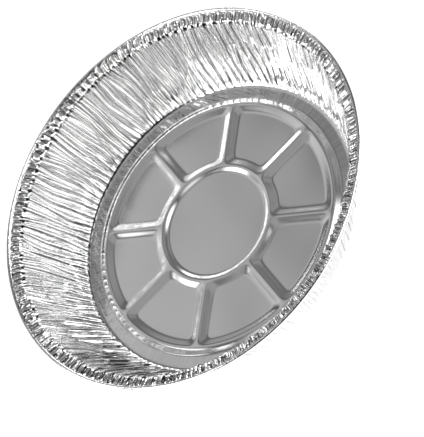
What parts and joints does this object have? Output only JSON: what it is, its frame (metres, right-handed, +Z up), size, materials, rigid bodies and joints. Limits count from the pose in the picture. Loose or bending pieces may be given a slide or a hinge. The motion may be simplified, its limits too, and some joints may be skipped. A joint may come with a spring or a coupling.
{
  "type": "foil pie tin",
  "caption": "Deep round pie tin of thin aluminium foil with a rolled rim, a crimped flange, a wrinkled wall and an embossed floor.",
  "frame": {"origin": "centre of the underside, at the level of the gutter that the tin stands on", "axes": "+Z up out of the open mouth, +X along one of the floor's spokes"},
  "size_m": [0.2316, 0.2316, 0.049],
  "materials": {
    "foil": "bright"
  },
  "bodies": {
    "root": {"tin": "foil"}
  },
  "joints": []
}
